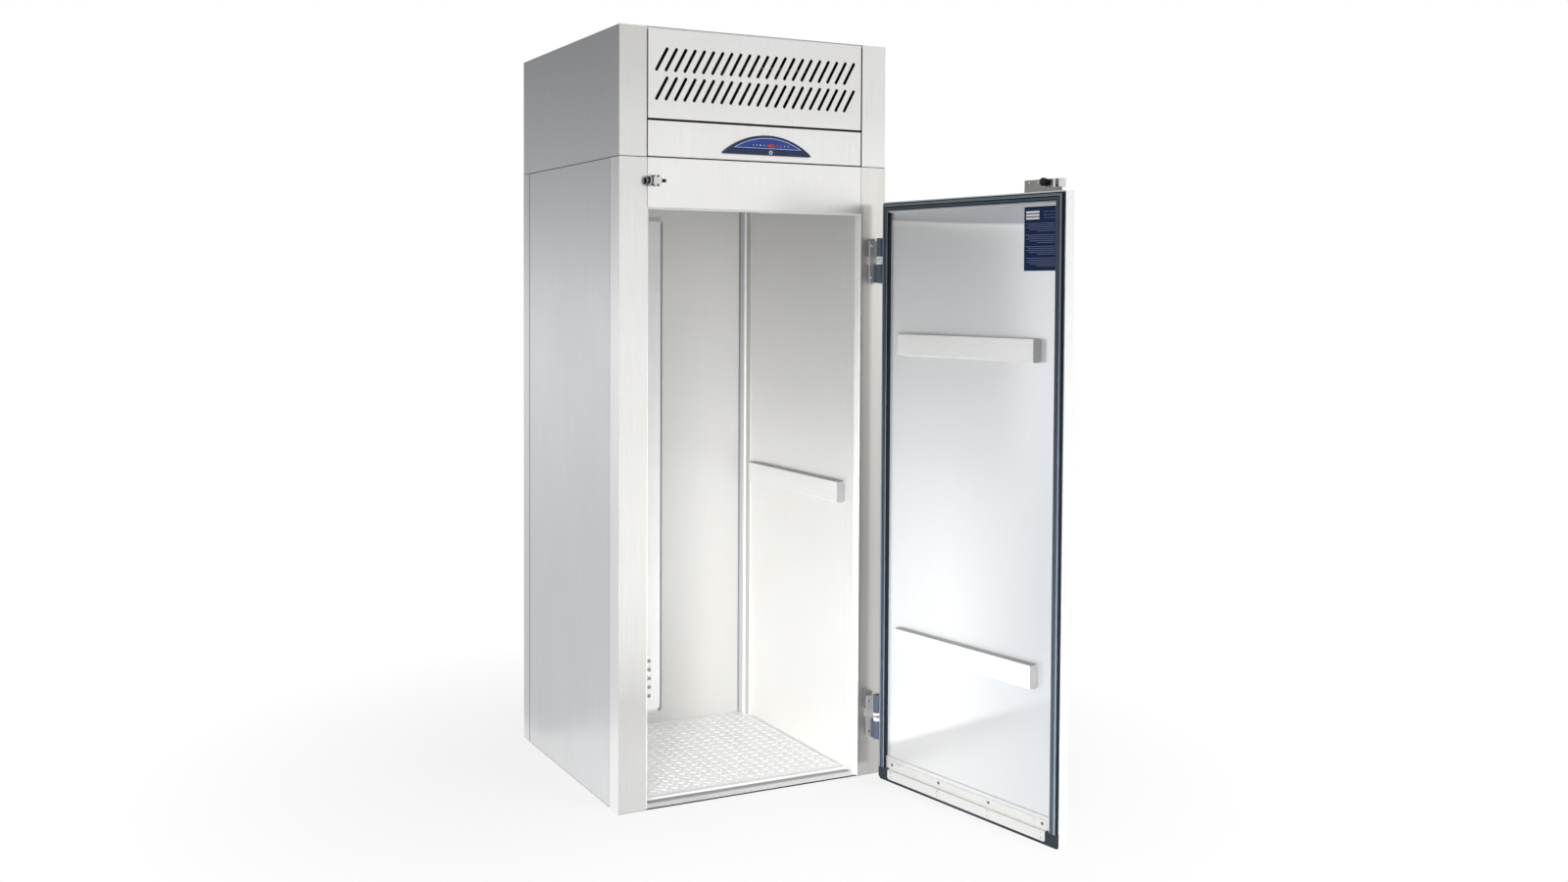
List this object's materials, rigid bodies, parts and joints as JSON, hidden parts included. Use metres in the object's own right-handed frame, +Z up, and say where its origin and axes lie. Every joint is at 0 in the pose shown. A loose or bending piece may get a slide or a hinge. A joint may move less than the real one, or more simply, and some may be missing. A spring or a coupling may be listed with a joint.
{
  "type": "upright commercial refrigerator",
  "caption": "Tall stainless trolley refrigerator with its hinged door open, an empty load space with bumper rails, and a louvred machine housing with a half-moon control panel on top.",
  "frame": {"origin": "centre of the body's footprint on the floor, the door left out", "axes": "+Z up; the front with the door faces -Y; the hinge side is +X"},
  "size_m": [1.0031, 1.6644, 2.245],
  "materials": {
    "front_steel": "satin",
    "side_steel": "satin",
    "inner_steel": "satin",
    "rail_steel": "satin",
    "deck_steel": "satin",
    "foam": "matte",
    "trim_white": "gloss",
    "trim_metal": "satin",
    "catch_metal": "satin",
    "bright_metal": "gloss",
    "hinge_metal": "satin",
    "black_plastic": "satin",
    "dark_metal": "satin",
    "seal_rubber": "satin",
    "black_rubber": "matte",
    "handle_steel": "satin",
    "bezel_blue": "satin",
    "face_blue": "satin",
    "plate_blue": "satin",
    "red_window": "gloss",
    "button_grey": "satin",
    "fin_metal": "satin",
    "grey_metal": "satin",
    "copper": "satin",
    "box_grey": "satin"
  },
  "bodies": {
    "cabinet": {"left_side_panel": "side_steel", "right_side_panel": "side_steel", "rear_panel": "side_steel", "left_front_post": "front_steel", "right_front_post": "front_steel", "header_panel": "front_steel", "roof_deck": "deck_steel", "cabinet_insulation": "foam", "side_liners": "inner_steel", "rear_liner": "inner_steel", "ceiling_liner": "inner_steel", "opening_trim": "trim_white", "corner_trims": "trim_metal", "air_duct": "inner_steel", "wall_bumper_rails": "rail_steel", "floor_plate": "inner_steel", "sill": "inner_steel", "catch_body": "catch_metal", "hinge_frame_leaves": "hinge_metal", "frame_screws": "bright_metal", "housing_sides": "side_steel", "housing_top": "side_steel", "rear_grille": "side_steel", "control_fascia": "front_steel", "control_bezel": "bezel_blue", "control_face": "face_blue", "display_and_lamps": "red_window", "condenser_coil": "fin_metal", "fan_shroud": "grey_metal", "fan_motors": "grey_metal", "compressor": "dark_metal", "compressor_mounts": "black_rubber", "pipework": "copper", "evaporator_coil": "fin_metal", "electrical_box": "box_grey"},
    "door": {"hinge_door_leaves": "hinge_metal", "door_outer_skin": "front_steel", "door_insulation": "foam", "door_liner": "inner_steel", "door_seal": "seal_rubber", "door_wiper": "black_rubber", "wiper_clamp": "rail_steel", "door_screws": "bright_metal", "door_bumper_rails": "rail_steel", "door_plate": "plate_blue", "latch_bracket": "catch_metal", "latch_housing": "bright_metal", "door_handle": "handle_steel"},
    "catch_roller": {"catch_roller": "black_plastic"},
    "hinge_pins": {"hinge_pins": "bright_metal"},
    "latch_tongue": {"latch_tongue": "dark_metal"},
    "latch_knob": {"latch_knob": "black_plastic"},
    "louvre_panel": {"louvre_panel": "front_steel"},
    "button_1": {"button_1": "button_grey"},
    "button_2": {"button_2": "button_grey"},
    "button_3": {"button_3": "button_grey"},
    "button_4": {"button_4": "button_grey"},
    "key_switch": {"key_switch": "bright_metal"},
    "condenser_fan": {"condenser_fan": "black_plastic"},
    "evaporator_fan": {"evaporator_fan": "black_plastic"}
  },
  "joints": [
    {"name": "door_swing", "type": "hinge", "parent": "cabinet", "child": "hinge_pins", "pos_m": [0.4065, -0.4555, 1.587], "axis": [0, 0, 1], "range_deg": [-98.5, 71.5]},
    {"name": "door_rise", "type": "slide", "parent": "hinge_pins", "child": "door", "axis": [0, 0, 1], "range_m": [-0.0085, 0.0065]},
    {"name": "roller_spin", "type": "hinge", "parent": "cabinet", "child": "catch_roller", "pos_m": [-0.352, -0.4455, 1.808], "axis": [1, 0, 0], "continuous": true},
    {"name": "knob_turn", "type": "hinge", "parent": "door", "child": "latch_knob", "pos_m": [0.50557, -1.14341, 1.79194], "axis": [-0.989, -0.1478, 0], "range_deg": [0, 40]},
    {"name": "tongue_tilt", "type": "hinge", "parent": "door", "child": "latch_tongue", "pos_m": [0.50326, -1.2024, 1.78194], "axis": [0.1478, -0.989, 0], "range_deg": [0, 12]},
    {"name": "louvre_swing", "type": "hinge", "parent": "cabinet", "child": "louvre_panel", "pos_m": [0, -0.421, 2.2385], "axis": [-1, 0, 0], "range_deg": [0, 75]},
    {"name": "button_1_press", "type": "slide", "parent": "cabinet", "child": "button_1", "axis": [0, 1, 0], "range_m": [0, 0.0012], "stiffness_N_per_m": 1500, "springref_m": -0.0006},
    {"name": "button_2_press", "type": "slide", "parent": "cabinet", "child": "button_2", "axis": [0, 1, 0], "range_m": [0, 0.0012], "stiffness_N_per_m": 1500, "springref_m": -0.0006},
    {"name": "button_3_press", "type": "slide", "parent": "cabinet", "child": "button_3", "axis": [0, 1, 0], "range_m": [0, 0.0012], "stiffness_N_per_m": 1500, "springref_m": -0.0006},
    {"name": "button_4_press", "type": "slide", "parent": "cabinet", "child": "button_4", "axis": [0, 1, 0], "range_m": [0, 0.0012], "stiffness_N_per_m": 1500, "springref_m": -0.0006},
    {"name": "key_turn", "type": "hinge", "parent": "cabinet", "child": "key_switch", "pos_m": [0.038, -0.435, 1.904], "axis": [0, 1, 0], "range_deg": [0, 90]},
    {"name": "condenser_fan_spin", "type": "hinge", "parent": "cabinet", "child": "condenser_fan", "pos_m": [-0.1625, -0.2705, 2.05], "axis": [0, 1, 0], "continuous": true},
    {"name": "evaporator_fan_spin", "type": "hinge", "parent": "cabinet", "child": "evaporator_fan", "pos_m": [-0.15, -0.05, 1.835], "axis": [0, 0, 1], "continuous": true}
  ],
  "couplings": [
    {"joint": "door_rise", "follows": "door_swing", "m_per_rad": 0.0046155},
    {"joint": "tongue_tilt", "follows": "knob_turn", "ratio": 0.3}
  ]
}
